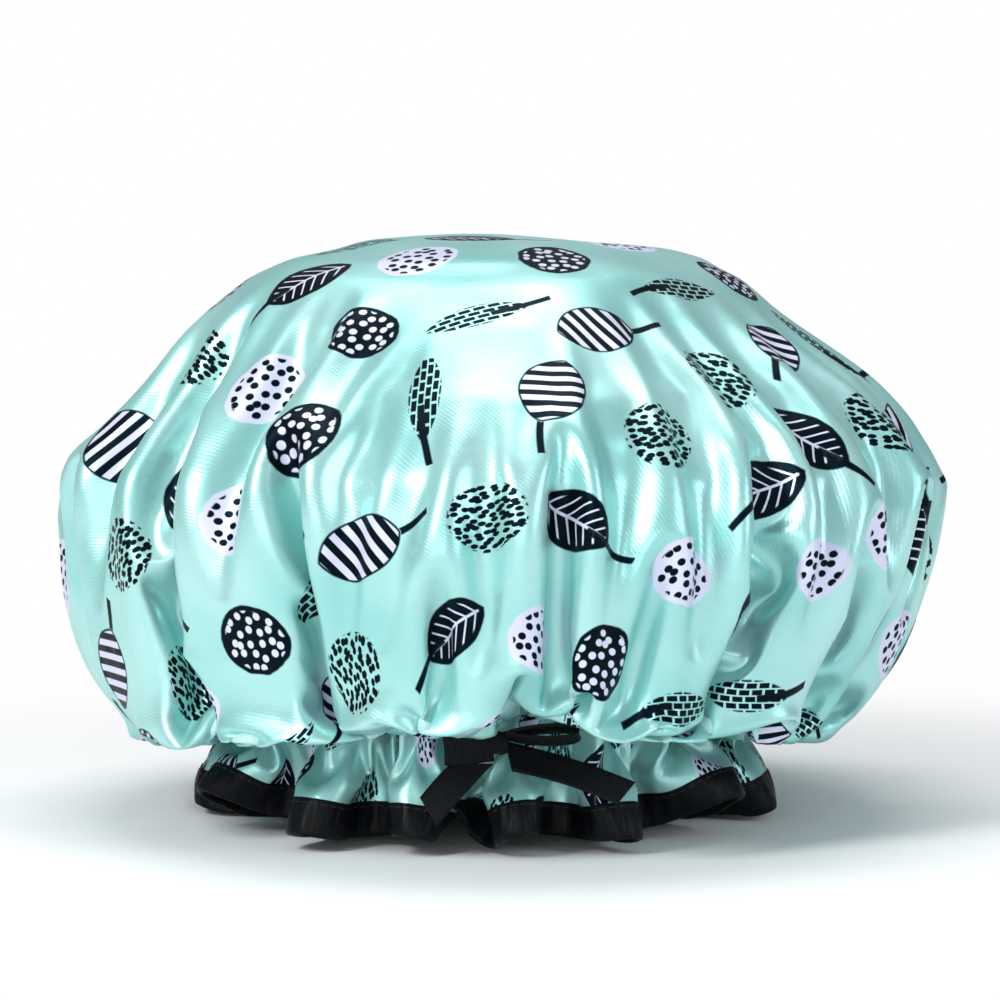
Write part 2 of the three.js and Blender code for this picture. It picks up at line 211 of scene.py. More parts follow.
class ClothRound:
    """The round of satin: how it lies flat, how it is cut and sewn, and how it settles"""

    def __init__(self):
        side = np.linspace(-1, 1, CROWN_SQUARES + 1)
        u, v = np.meshgrid(side, side, indexing="ij")
        crown = np.stack([u * np.sqrt(1 - v * v / 2), v * np.sqrt(1 - u * u / 2)], -1).reshape(-1, 2)
        self.grid = np.arange(len(crown)).reshape(u.shape)
        g = self.grid
        self.seam = np.r_[g[:-1, 0], g[-1, :-1], g[:0:-1, -1], g[0, :0:-1]]
        radii = np.linspace(SEAM_RADIUS, HEM_RADIUS, RUFFLE_ROWS + 1)[1:]
        below = [crown[self.seam] * radius for radius in radii]
        self.flat = np.concatenate([crown * SEAM_RADIUS, *below])
        numbers = np.arange(len(crown), len(self.flat)).reshape(RUFFLE_ROWS, -1)
        self.ruffle = np.concatenate([self.seam[None], numbers]).T
        self.faces = np.concatenate([quads(g), quads(self.ruffle, closed=True)[:, ::-1]])
        self.radius = np.hypot(*self.flat.T)
        self.turn = np.arctan2(self.flat[:, 1], self.flat[:, 0])
        self.azimuth = (np.degrees(self.turn) + 270) % 360 - 180
        self.below = self.radius > SEAM_RADIUS + 0.01
        self.held = np.zeros(len(self.flat), bool)
        self.held[self.ruffle[:, : CASING_ROWS + 1]] = True
        self.free = (~self.held).astype(float)[:, None]
        self.crown = ~self.below & ~self.held
        self.drop = self.hem_drop()
        self.cut = self.cut_shape()
        self.points = self.first_shape()

    def hem_drop(self):
        """The ruffle's length as a share of its full one: it is a little short in places"""
        wander = 1.4 * np.sin(np.radians(self.azimuth * 2))
        return 0.9 + 0.1 * np.cos(np.radians(self.azimuth * 9 + 20) + wander)

    def meridian(self):
        """Flat radius, radius and height along the first shape"""
        place = lengths_along(FIRST_SHAPE)
        fine = np.linspace(0, place[-1], 600)
        line = np.stack([curve_through((place, FIRST_SHAPE[:, axis]), fine) for axis in (0, 1)], -1)
        along = lengths_along(line)
        return along * SEAM_RADIUS / along[-1], line[:, 0], line[:, 1]

    def cut_shape(self):
        """The lengths that the threads keep: the round with its spare width eased in towards the elastic"""
        along, radius, _ = self.meridian()
        wide = np.minimum(radius * np.interp(along, *SPARE_WIDTH.T), along)
        fall = np.sqrt(np.clip(1 - np.gradient(wide, along) ** 2, 0, None))
        depth = -np.r_[0, np.cumsum((fall[1:] + fall[:-1]) / 2 * np.diff(along))]
        past = np.clip(self.radius - SEAM_RADIUS, 0, None)
        ruffle = NECK_RADIUS * (1 + NECK_STRETCH) / 2 * RUFFLE_FULLNESS
        reach = np.where(self.below, ruffle + past * 0.5, np.interp(self.radius, along, wide))
        height = np.interp(self.radius, along, depth) - past * 0.87 * self.drop
        return np.stack([reach * np.cos(self.turn), reach * np.sin(self.turn), height], -1)

    def creases(self):
        """How far in and out the puffs and the creases between them lie"""
        wave = 0.42 * np.interp(self.radius, *CREASE_DEPTH.T)
        spread = np.interp(self.radius, *CREASE_WIDTH.T)
        up = np.clip((295 - self.radius) / 195, 0, 1)
        for middle, depth, reach, lean in CREASES:
            off = (self.azimuth - middle - lean * up + 180) % 360 - 180
            fade = np.interp(self.radius, [reach - 20, reach + 25, reach + 70, *CREASE_END], CREASE_FADE)
            wave -= depth * fade * np.exp(-(off / spread) ** 2)
        return wave

    def waves(self):
        """How far in and out the first shape lies: creases, soft swellings, fine gathers and the frill"""
        turn = np.radians(self.azimuth)
        at = self.radius
        swell = np.cos(turn * 7 + 0.6) + 0.7 * np.cos(turn * 4 - 1)
        gathers = np.cos(turn * 52 + 3 * np.sin(turn * 5))
        frill = np.cos(16 * (turn - 0.136) + 1.1 * np.sin(turn * 3) - 0.5 * np.sin(turn * 5))
        calm = 1 - 0.75 * np.exp(-((self.azimuth - 4) / 15) ** 2)
        wave = self.creases()
        wave += swell * np.interp(at, [0, 80, 150, 220, SEAM_RADIUS], [0, 0.6, 2.5, 3, 0])
        gather_places = [230, 275, 285, CASING_END, HEM_RADIUS]
        wave += calm * gathers * np.interp(at, gather_places, [0, 2, 2.8, 2.8, 0.4])
        frill_places = [275, SEAM_RADIUS, CASING_END, HEM_RADIUS - 18, HEM_RADIUS]
        wave += frill * np.interp(at, frill_places, FRILL_DEPTH)
        wave -= 1.8 * (1 - calm) * np.interp(at, [250, 280, CASING_END, HEM_RADIUS], [0, 1, 1, 0])
        return wave

    def first_shape(self):
        """Where the settling starts from: puffed up, with its creases and gathers begun"""
        along, radius, height = self.meridian()
        at, wave = self.radius, self.waves()
        hung = NECK_RADIUS + np.clip(at - CASING_END, 0, None) * (0.17 - 0.1 * np.cos(self.turn))
        reach = np.where(self.below, hung, np.interp(at, along, radius))
        reach += wave * np.interp(at, [0, 90, 160, 250, SEAM_RADIUS], [0.15, 0.6, 1, 0.9, 1])
        low = NECK_HEIGHT - np.clip(at - SEAM_RADIUS, 0, None) * 0.97 * self.drop
        level = np.maximum(np.where(self.below, low, np.interp(at, along, height)), HEM_FLOOR)
        places = [0, 90, 160, 240, 284, SEAM_RADIUS, CASING_END, HEM_RADIUS]
        level += wave * np.interp(at, places, [0.95, 0.7, 0.1, -0.6, -0.3, 0, 0, 0.6])
        lean = BULGE_LEAN * np.interp(at, [0, 60, 150, 200, 260, SEAM_RADIUS], [0.15, 0.25, 0.85, 1, 0.5, 0])
        stretch = [CROWN_STRETCH, CROWN_STRETCH, NECK_STRETCH, 1.17]
        stretch = np.interp(at, [0, 150, SEAM_RADIUS, HEM_RADIUS], stretch)
        x = NECK_MIDDLE + lean + reach * np.cos(self.turn)
        points = np.stack([x, reach * np.sin(self.turn) * stretch, level], -1)
        noise = np.random.default_rng(5).normal(0, 0.15, points.shape)
        return points + noise * (~self.held & (at > 20))[:, None]

    def threads(self):
        """Pairs of points with the length between them: threads, then bias pull, then bending stiffness"""
        free = self.free
        found = []

        def tie(a, b, give):
            keep = ~(self.held[a] & self.held[b])
            a, b = a[keep], b[keep]
            if len(a):
                length = np.linalg.norm(self.cut[b] - self.cut[a], axis=1)[:, None]
                found.append((a, b, length, free[a], free[b], 1 / (free[a] + free[b] + give)))

        def tie_rows(rows, reach, give, closed=False):
            for turn in range(2):
                i = np.arange(len(rows) if closed else len(rows) - reach)
                i = i[(i // reach) % 2 == turn]
                tie(rows[i].ravel(), rows[(i + reach) % len(rows)].ravel(), give)

        def tie_bias(rows, give, closed=False):
            for turn in range(2):
                i = np.arange(len(rows) if closed else len(rows) - 1)
                i = i[i % 2 == turn]
                here, after = rows[i], rows[(i + 1) % len(rows)]
                tie(here[:, :-1].ravel(), after[:, 1:].ravel(), give)
                tie(here[:, 1:].ravel(), after[:, :-1].ravel(), give)

        g, r = self.grid, self.ruffle
        for rows in (g, g.T):
            tie_rows(rows, 1, 0)
        tie_bias(g, 0.5)
        for rows in (g, g.T):
            tie_rows(rows, 2, 20)
        tie_rows(r, 1, 0, closed=True)
        tie_rows(r.T, 1, 0)
        tie_bias(r, 0.5, closed=True)
        tie_rows(r, 2, 8, closed=True)
        tie_rows(r.T, 2, 8)
        bound = r[:, -4:]
        tie_rows(bound, 2, 1, closed=True)
        tie_rows(bound.T, 2, 1)
        tie_rows(r[:, -5:], 6, 1, closed=True)
        return found

    def settle(self, steps=200, passes=7):
        """Lets the cloth fall over the filling until its folds are formed"""
        points, before, free = self.points, self.points.copy(), self.free
        outward = np.stack([np.cos(self.turn), np.sin(self.turn), 0 * self.turn], -1) * RUFFLE_PUSH
        threads = self.threads()
        for step in range(steps):
            pace = (points - before) * 0.9
            before = points.copy()
            push = np.where(self.crown[:, None], PUFF_PUSH * normals_of(points, self.faces), outward)
            points = points + free * (pace + push - (0, 0, WEIGHT))
            for _ in range(passes):
                for a, b, length, free_a, free_b, share in threads:
                    gap = points[b] - points[a]
                    now = np.sqrt(np.einsum("ij,ij->i", gap, gap))[:, None] + 1e-9
                    pull = gap * ((now - length) / now * share)
                    points[a] += free_a * pull
                    points[b] -= free_b * pull
            if step % 2 == 0:
                self.keep_apart(points)
            self.rest_on_filling(points)
            self.keep_clear(points)
        self.points = self.fitted(self.deepened(points))

    def rest_on_filling(self, points):
        """The filling holds the crown out from inside, in soft lumps. A step moves no point far."""
        x, y, z = points.T
        left, right = (np.interp(z, OUTLINE[:, 0], OUTLINE[:, side]) for side in (1, 2))
        x = x - (right - left) / 2
        y = y / CROWN_STRETCH
        away = np.maximum(np.hypot(x, y), 1)
        turn = np.arctan2(y, x)
        low = np.clip(2.4 - z / 90, 0.2, 1)
        lump = np.cos(3 * turn + 1.3 + z / 40) + 0.8 * low * np.cos(5 * turn - z / 30)
        lump = 1 + FILLING_LUMP * lump
        short = ((left + right) / 2 - FILLING_INSET) * lump - away
        inside = self.crown & (z > NECK_HEIGHT) & (short > 0) & ((z < 150) | (short < 6))
        move = np.where(inside, np.minimum(0.3 * short, FILLING_STEP) / away, 0)
        dents = 2 * np.cos(x / 22 + 0.5) * np.cos(y / 27 - 0.4) * np.clip((120 - away / lump) / 40, 0, 1)
        top = np.interp(away / lump, *FILLING_TOP.T) + dents
        under = (z < top) & (z > 120) & (self.radius < 200)
        points[:, 0] += move * x
        points[:, 1] += move * y * CROWN_STRETCH
        points[:, 2] += np.where(under, np.minimum(0.3 * (top - z), FILLING_STEP), 0)

    def keep_apart(self, points):
        """Folds that come close press each other apart, so that none passes through another"""
        cell = np.floor(points / FOLD_GAP).astype(np.int64)
        cell -= cell.min(axis=0) - 1
        wide, high = cell.max(axis=0)[1:] + 2
        key = (cell[:, 0] * wide + cell[:, 1]) * high + cell[:, 2]
        order = np.argsort(key, kind="stable")
        ranked = key[order]
        for x, y, z in NEXT_CELLS:
            wanted = ranked + (x * wide + y) * high + z
            first = np.searchsorted(ranked, wanted, "left")
            count = np.searchsorted(ranked, wanted, "right") - first
            a = np.repeat(order, count)
            place = np.arange(len(a)) - np.repeat(np.cumsum(count) - count, count)
            b = order[place + np.repeat(first, count)]
            apart = self.flat[a] - self.flat[b]
            near = np.einsum("ij,ij->i", apart, apart) > FOLD_REACH**2
            a, b = a[near], b[near]
            gap = points[b] - points[a]
            now = np.sqrt(np.einsum("ij,ij->i", gap, gap))
            close = (now < FOLD_GAP) & (now > 0.01)
            a, b, gap, now = a[close], b[close], gap[close], now[close]
            push = gap * (0.3 * (FOLD_GAP - now) / now)[:, None]
            np.subtract.at(points, a, push * self.free[a])
            np.add.at(points, b, push * self.free[b])

    def keep_clear(self, points):
        """The hem stays on the floor, the puffs hang no lower than the neck, and the bow keeps its room"""
        x, y, z = points.T
        out = np.hypot(x, y)
        side = np.abs(x) / np.maximum(out, 1)
        sag = SIDE_SAG * side**2 * np.clip((out - 88) / 20, 0, 1)
        lowest = np.where(self.below, HEM_FLOOR, PUFF_FLOOR - sag)
        for start, end, near, far in OVER_BOW:
            over = ~self.below & (y < -94) & (x > start) & (x <= end)
            lowest = np.where(over, np.where(y > -106, near, far), lowest)
        points[:, 2] += np.where(~self.held, np.clip(lowest - z, 0, 2), 0)
        aside = x - NECK_MIDDLE
        points[:, 0] -= self.below * np.sign(aside) * np.clip(np.abs(aside) - RUFFLE_REACH, 0, 1)
        for plate in (RIGHT_TAIL, LEFT_TAIL):
            plate.push_back(points, self.below & ~self.held)

    def deepened(self, points, share=0.85, rounds=40):
        """Draws the folds of the crown out sideways from the smooth form that they lie on"""
        here = self.faces[:, [0, 1, 2, 3, 0, 1, 2, 3]].ravel()
        near = self.faces[:, [1, 2, 3, 0, 3, 0, 1, 2]].ravel()
        count = np.bincount(here, minlength=len(points))
        smooth = points.copy()
        for _ in range(rounds):
            around = [np.bincount(here, smooth[near, axis], len(points)) / count for axis in range(3)]
            smooth = np.stack(around, -1)
        fade = np.interp(self.radius, [60, 130, 235, 265], [0, 1, 1, 0]) * self.crown
        return points + (points - smooth) * (share, share, 0) * fade[:, None]

    def fitted(self, points):
        """Draws the puffs smoothly in or out beyond the neck, so that the outline is the wanted one"""
        x, y, z = points.T
        x = x - NECK_MIDDLE
        heights, left, right = OUTLINE[1:-2].T
        wanted = [left + NECK_MIDDLE, right - NECK_MIDDLE, (left + right) / 2 * DEPTH_SHARE]
        bands = [self.crown & (np.abs(z - height) < 3.5) for height in heights]
        now = [[reach[band].max() for band in bands] for reach in (-x, x, np.abs(y))]
        at = np.clip(z, heights[0], heights[-1])
        away = np.maximum(np.hypot(x, y), 1)
        side = (x / away) ** 2

        def reach_round(reaches):
            left, right, deep = (curve_through((heights, np.array(reach)), at) for reach in reaches)
            return side * np.where(x < 0, left, right) + (1 - side) * deep

        wanted, now = reach_round(wanted), reach_round(now)
        core = np.minimum(NECK_RADIUS + 4 + (1 - side) * 16, 0.7 * wanted)
        share = (wanted - core) / np.maximum(now - core, 1)
        fitted = np.where(self.crown & (away > core), core + (away - core) * share, away)
        return points + np.stack([x, y, 0 * z], -1) * (fitted / away - 1)[:, None]


class Plate:
    """The flat place of one piece of ribbon: its start, and the directions along, across and out of it"""

    def __init__(self, start, along, across, length):
        self.start = np.array(start, float)
        self.along = np.array(along, float) / np.linalg.norm(along)
        across = np.array(across, float)
        across -= self.along * (across @ self.along)
        self.across = across / np.linalg.norm(across)
        self.out = np.cross(self.along, self.across)
        if self.out[1] > 0:
            self.out = -self.out
        self.length = length

    def point(self, along, across, out):
        along, across, out = (np.asarray(value, float)[..., None] for value in (along, across, out))
        return self.start + along * self.along + across * self.across + out * self.out

    def push_back(self, points, may_move, behind=2.2, margin=2, step=1.5):
        """Moves the cloth that has come in front of the ribbon to just behind it"""
        off = points - self.start
        along, across, out = off @ self.along, off @ self.across, off @ self.out
        under = (along > -margin - 1) & (along < self.length + margin)
        under &= np.abs(across) < RIBBON_WIDTH / 2 + margin
        caught = may_move & under & (out > -behind) & (out < 12)
        points[caught] += np.outer(np.maximum(-behind - out[caught], -step), self.out)


# Where each piece of the bow starts, the way it runs, and the way its width lies
RIGHT_LOOP = Plate(
    (1.5, -102.52, 36.6), (0.998, -0.065, 0.026), (-0.07, -0.925, 0.374), RIGHT_LOOP_LENGTH)
LEFT_LOOP = Plate(
    (-4.84, -100.82, 33.4), (-0.996, 0, -0.087), (0.087, 0, -0.996), LEFT_LOOP_LENGTH)
RIGHT_TAIL = Plate(
    (2.14, -101.32, 29.6), (0.954, -0.07, -0.293), (0.254, 0.71, 0.657), RIGHT_TAIL_LENGTH)
LEFT_TAIL = Plate(
    (-10.63, -101.32, 27.07), (-0.669, -0.145, -0.729), (0.731, -0.303, -0.611), LEFT_TAIL_LENGTH)


# Pieces made of rows of points

def placed(name, data):
    """An object of that mesh, lamp or camera, put in the scene"""
    piece = bpy.data.objects.new(name, data)
    bpy.context.scene.collection.objects.link(piece)
    return piece


def smooth_mesh(name, points, faces, finish):
    """A smooth mesh from points in millimetres"""
    mesh = bpy.data.meshes.new(name)
    mesh.from_pydata((points * MM).tolist(), [], faces)
    mesh.shade_smooth()
    mesh.materials.append(finish)
    return mesh


def add_mesh(name, points, faces, uv, finish, levels=0):
    """A piece of cloth or tape. uv holds one pair for each corner of each face."""
    mesh = smooth_mesh(name, points, faces.tolist(), finish)
    layer = mesh.uv_layers.new(name="cloth")
    layer.data.foreach_set("uv", np.asarray(uv, np.float32).ravel())
    piece = placed(name, mesh)
    if levels:
        smooth = piece.modifiers.new("rounded", "SUBSURF")
        smooth.levels = smooth.render_levels = levels
    return piece


def add_behind(name, front, gap, finish, passes=3):
    """A second cloth: a copy of the front one, that far behind it and behind the folds next to it"""
    depsgraph = bpy.context.evaluated_depsgraph_get()
    mesh = bpy.data.meshes.new_from_object(front.evaluated_get(depsgraph))
    mesh.name = name
    front_faces = BVHTree.FromObject(front, depsgraph)
    places = [vertex.co - vertex.normal * gap for vertex in mesh.vertices]
    for _ in range(passes):
        for i, place in enumerate(places):
            nearest, way, _, _ = front_faces.find_nearest(place)
            if (place - nearest).dot(way) > -gap / 2:
                places[i] = nearest - way * gap
    mesh.vertices.foreach_set("co", np.array(places, np.float32).ravel())
    mesh.materials.clear()
    mesh.materials.append(finish)
    return placed(name, mesh)


def add_strip(name, rows, around, across, finish, closed=True, levels=1, face_out=True):
    """A strip through rows of points. around and across are its true lengths, for the weave."""
    count, width = rows.shape[:2]
    numbers = np.arange(count * width).reshape(count, width)
    faces = quads(numbers, closed)
    steps = np.arange(count + 1)
    place = np.stack(np.broadcast_arrays(
        np.interp(steps, np.arange(len(around)), around)[:, None], np.asarray(across)[None, :],
    ), -1)
    grid = np.arange(place[..., 0].size).reshape(count + 1, width)
    corners = quads(grid if closed else grid[:count])
    uv = place.reshape(-1, 2)[corners] * MM
    if not face_out:
        faces, uv = faces[:, ::-1], uv[:, ::-1]
    return add_mesh(name, rows.reshape(-1, 3), faces, uv, finish, levels)


def stitches(name, line, length, gap, thickness, finish, closed=True):
    """Short rounded threads laid end to end along a line, each narrower at both its ends"""
    line = np.concatenate([line, line[:1]]) if closed else line
    place = lengths_along(line)
    count = int(place[-1] / (length + gap))
    starts = np.arange(count) * place[-1] / count
    shares = np.array([0, 0.12, 0.5, 0.88, 1])
    girth = np.array([0.35, 0.9, 1, 0.9, 0.35]) * thickness / 2
    sides = np.linspace(0, 2 * math.pi, 7)[:-1]
    points, faces = [], []
    ring = np.arange(len(shares) * len(sides)).reshape(len(shares), len(sides))
    tube = quads(ring.T, closed=True)
    for start in starts:
        at = start + shares * length
        middle = np.stack([np.interp(at, place, line[:, axis]) for axis in range(3)], -1)
        way = middle[-1] - middle[0]
        way /= np.linalg.norm(way) + 1e-9
        side = np.cross(way, (0.3, 0.2, 1))
        side /= np.linalg.norm(side)
        up = np.cross(side, way)
        around = np.outer(np.cos(sides), side) + np.outer(np.sin(sides), up)
        points.append((middle[:, None] + girth[:, None, None] * around[None]).reshape(-1, 3))
        base = (len(points) - 1) * ring.size
        faces.extend((tube + base).tolist())
        faces.extend([[*(ring[0] + base)], [*(ring[-1, ::-1] + base)]])
    return placed(name, smooth_mesh(name, np.concatenate(points), faces, finish))


# Finishes

class Wire:
    """A socket's value, so that shader maths is written as maths"""

    def __init__(self, socket):
        self.socket = socket

    def maths(self, operation, *values):
        node = self.socket.id_data.nodes.new("ShaderNodeMath")
        node.operation = operation
        for place, value in enumerate(values):
            plug(node.inputs[place], value)
        return Wire(node.outputs[0])


def add_operations():
    """Gives Wire its operators and functions. Those marked turned take the wire as the second value."""
    plain = {
        "__add__": "ADD", "__sub__": "SUBTRACT", "__mul__": "MULTIPLY", "__truediv__": "DIVIDE",
        "__mod__": "FLOORED_MODULO", "__pow__": "POWER", "__gt__": "GREATER_THAN", "__abs__": "ABSOLUTE",
        "floor": "FLOOR", "sine": "SINE", "cosine": "COSINE", "root": "SQRT",
        "least": "MINIMUM", "most": "MAXIMUM",
    }
    turned = {"__radd__": "ADD", "__rsub__": "SUBTRACT", "__rmul__": "MULTIPLY"}
    for name, operation in plain.items():
        setattr(Wire, name, lambda self, *other, kind=operation: self.maths(kind, self, *other))
    for name, operation in turned.items():
        setattr(Wire, name, lambda self, other, kind=operation: self.maths(kind, other, self))


add_operations()


def plug(socket, value):
    if isinstance(value, Wire):
        socket.id_data.links.new(value.socket, socket)
    else:
        socket.default_value = value


class Finish:
    """One material: its nodes are added by type, settings and inputs"""

    def __init__(self, name):
        self.material = bpy.data.materials.new(name)
        self.material.use_nodes = True
        self.tree = self.material.node_tree
        self.surface = self.tree.nodes["Principled BSDF"]

    def add(self, kind, settings=(), inputs=(), output=0):
        node = self.tree.nodes.new(kind)
        for name, value in dict(settings).items():
            setattr(node, name, value)
        for name, value in dict(inputs).items():
            plug(node.inputs[name], value)
        return Wire(node.outputs[output])

    def set(self, **inputs):
        """Sets or links the surface's own sockets: Base_Color stands for Base Color"""
        for name, value in inputs.items():
            plug(self.surface.inputs[name.replace("_", " ")], value)

    def flat_place(self):
        """Where a point lay before sewing, in millimetres along and across the cloth"""
        uv = self.add("ShaderNodeUVMap", {"uv_map": "cloth"})
        return self.scaled(uv, 1000)

    def scaled(self, vector, share):
        return self.add("ShaderNodeVectorMath", {"operation": "SCALE"}, {0: vector, "Scale": share})

    def parts(self, vector):
        node = self.tree.nodes.new("ShaderNodeSeparateXYZ")
        plug(node.inputs[0], vector)
        return [Wire(output) for output in node.outputs]

    def joined(self, x, y, z=0.0):
        return self.add("ShaderNodeCombineXYZ", inputs={"X": x, "Y": y, "Z": z})

    def mixed(self, share, first, second):
        node = self.tree.nodes.new("ShaderNodeMix")
        node.data_type = "RGBA"
        plug(node.inputs[0], share)
        plug(node.inputs[6], first)
        plug(node.inputs[7], second)
        return Wire(node.outputs[2])

    def noise(self, place, size, detail=2.0):
        """Cloudy variation from 0 to 1, with clouds of about that size"""
        return self.add("ShaderNodeTexNoise", inputs={"Vector": place, "Scale": 1 / size, "Detail": detail})

    def cells(self, place, size, disorder):
        """How far a point is from the middle of its cell, as a share of the cells' size"""
        return self.add("ShaderNodeTexVoronoi", {"voronoi_dimensions": "2D", "feature": "F1"},
                        {"Vector": place, "Scale": 1 / size, "Randomness": disorder})

    def soft(self, value, low, high):
        """Rises smoothly from 0 at low to 1 at high"""
        return self.add("ShaderNodeMapRange", {"interpolation_type": "SMOOTHSTEP"},
                        {"Value": value, "From Min": low, "From Max": high})

    def bumped(self, height, depth_mm, normal=None):
        inputs = {"Height": height, "Distance": depth_mm * MM, "Strength": 1.0}
        if normal:
            inputs["Normal"] = normal
        return self.add("ShaderNodeBump", inputs=inputs)


# Colours, each as a dark and a light tone. On the binding, ribbon, tapes and threads the two tones
# are painted shade in their hollows and a painted highlight on their raised parts.
INK = (0.002, 0.008, 0.014, 1)
PALE = (0.66, 0.67, 0.86, 1)
MINT = (0.27, 0.64, 0.61, 1)
MINT_BRIGHT = (0.54, 0.84, 0.825, 1)
BINDING_BLACKS = (0.0012, 0.0018, 0.003, 1), (0.003, 0.004, 0.0065, 1)
RIBBON_BLACKS = (0.0012, 0.0014, 0.002, 1), (0.010, 0.011, 0.014, 1)
FILM_MINTS = (0.40, 0.68, 0.665, 1), (0.50, 0.77, 0.755, 1)
CASING_WHITES = (0.55, 0.62, 0.60, 1), (0.80, 0.84, 0.82, 1)
ELASTIC_WHITES = (0.50, 0.50, 0.47, 1), (0.82, 0.81, 0.77, 1)
THREAD_BLACKS = (0.004, 0.004, 0.006, 1), (0.03, 0.03, 0.036, 1)
THREAD_MINTS = (0.55, 0.66, 0.63, 1), (0.80, 0.88, 0.85, 1)


# The print: how far apart its motifs are, how much larger they are than the sizes below, and each leaf's
# length, width and middle along its stem
PRINT_PITCH = 38.0
PRINT_SCALE = 1.38
VEINED_LEAF = (21, 13, 4)
VEINED_INSIDE = (19, 11, 4)
SPRIG = (25, 7.5, 3)
BROAD_LEAF = (20, 15, 3)
PEBBLE_RADIUS = 8.2
PEBBLE_RIM = 1
VEIN_PITCH = 2.7
STRIPE_PITCH = 3.3
DASH_PITCH = 3.4
DASH_ROW = 1.55
DOT_PITCH = 2.7
SPECK_PITCH = 1.25


def lens(along, across, length, width, middle=0.0):
    """How far inside a pointed leaf shape, in millimetres: below zero outside it"""
    half = length / 2
    radius = (half * half + width * width / 4) / width
    a = along - middle
    b = abs(across) + (radius - width / 2)
    return radius - (a * a + b * b).root()


def print_motifs(f, x, y):
    """Leaves, pebbles and sprigs in loose rows. Gives where the ink and where the pale print lie."""
    row = (y / PRINT_PITCH).floor()
    slid = x / PRINT_PITCH + row * 0.5 + 0.13
    column = slid.floor()
    cell = f.add("ShaderNodeTexWhiteNoise", {"noise_dimensions": "3D"},
                 {"Vector": f.joined(column, row, 7.0)}, output=1)
    r1, r2, r3 = f.parts(cell)
    across = ((slid - column - 0.5) * PRINT_PITCH + (r1 - 0.5) * 2) / PRINT_SCALE
    up = ((y / PRINT_PITCH - row - 0.5) * PRINT_PITCH + (r2 - 0.5) * 2) / PRINT_SCALE
    turn = 0.9 + (r3 - 0.5) * 1.5 + (row % 2) * 2.3
    cos, sin = turn.cosine(), turn.sine()
    a = across * cos + up * sin
    b = up * cos - across * sin
    kind = (column + row * 4 + (row / 3).floor()) % 6
    chosen = [1 - (abs(kind - number) > 0.5) for number in range(6)]
    wobble = (f.noise(f.joined(a, b, kind), 3.2, 1) - 0.5) * 1.1

    def ink(inside, softness=0.22):
        return f.soft(inside, -softness, softness)

    bent = b + a * a * 0.012 - 0.6
    stem = ink(0.85 - abs(bent)) * ink(a + 14.5) * ink(-1 * a)
    dots = f.soft(f.cells(f.joined(a, b), DOT_PITCH, 0.55), 0.36, 0.28)
    specks = f.soft(f.cells(f.joined(a * 0.6, b), SPECK_PITCH, 0.9), 0.47, 0.39)
    leaf = ink(lens(a, b, *VEINED_LEAF) + wobble * 0.4)
    leaf_inside = lens(a, b, *VEINED_INSIDE)
    side_vein = abs((a + abs(b) * 0.75) % VEIN_PITCH - VEIN_PITCH / 2)
    veins = f.soft(side_vein, 0.34, 0.2) * f.soft(leaf_inside, 0.2, 0.7)
    veins = veins.most(f.soft(abs(b), 0.42, 0.25) * f.soft(leaf_inside, 0.2, 0.6))
    pebble_inside = PEBBLE_RADIUS + wobble - (a * a * 0.78 + b * b * 1.15).root()
    stone = ink(pebble_inside)
    stone_in = f.soft(pebble_inside - PEBBLE_RIM, 0, 0.4)
    spray = ink(lens(a, b, *SPRIG))
    rows_up = b / DASH_ROW + 50
    line = rows_up.floor()
    dash_along = (a + line * 1.7) % DASH_PITCH
    dash = f.soft(abs(dash_along - DASH_PITCH / 2), 1.42, 1.28)
    dash = dash * f.soft(abs(rows_up - line - 0.5), 0.42, 0.36)
    broad_inside = lens(a, b, *BROAD_LEAF)
    broad = ink(broad_inside + wobble * 0.3)
    stripes = f.soft(abs((a + b * 0.35) % STRIPE_PITCH - STRIPE_PITCH / 2), 0.95, 0.75)
    stripes = stripes.most(1 - f.soft(broad_inside, 0.3, 0.7))

    black = chosen[0] * (leaf * (1 - veins)).most(stem)
    pale = chosen[0] * leaf * veins
    black = black + chosen[1] * (stone_in * dots)
    pale = pale + chosen[1] * stone * (1 - stone_in * dots)
    black = black + chosen[2] * stone * (1 - stone_in * dots)
    pale = pale + chosen[2] * (stone_in * dots)
    black = black + chosen[3] * (spray * dash).most(stem)
    black = black + chosen[4] * (broad * stripes).most(stem * (1 - broad))
    pale = pale + chosen[4] * broad * (1 - stripes)
    black = black + chosen[5] * (stone * specks)
    return black.least(1.0), pale.least(1.0)


def satin_print():
    """Mint satin, with the print, its fine weave lines and the small creases of packed cloth"""
    f = Finish("mint_satin_print")
    place = f.flat_place()
    x, y, _ = f.parts(place)
    x, y = x - HEM_RADIUS, y - HEM_RADIUS
    place = f.joined(x, y)
    black, pale = print_motifs(f, x, y)
    drift = f.noise(place, 46, 2)
    slub = f.noise(f.joined(x * 0.05, y * 1.6), 1, 3)
    ground = f.mixed(f.soft(drift, 0.3, 0.7) * 0.55 + slub * 0.25, MINT, MINT_BRIGHT)
    colour = f.mixed(pale, ground, PALE)
    colour = f.mixed(black, colour, INK)
    twill = f.add("ShaderNodeTexWave", {"wave_type": "BANDS", "bands_direction": "DIAGONAL"},
                  {"Vector": place, "Scale": 0.42, "Distortion": 0.6, "Detail": 1.0})
    creases = f.add("ShaderNodeTexNoise", {"noise_dimensions": "2D", "noise_type": "RIDGED_MULTIFRACTAL"},
                    {"Vector": place, "Scale": 1 / 38, "Detail": 3.0, "Roughness": 0.45})
    normal = f.bumped(creases, 1.3)
    normal = f.bumped(f.noise(place, 9, 2), 0.12, normal)
    normal = f.bumped(slub, 0.02, normal)
    normal = f.bumped(twill, 0.018, normal)
    f.set(Base_Color=colour, Roughness=0.34 + slub * 0.06 + black * 0.12 + pale * 0.05, Normal=normal,
          Metallic=0.55 + black * 0.4 - pale * 0.3, Specular_IOR_Level=0.45)
    return f.material


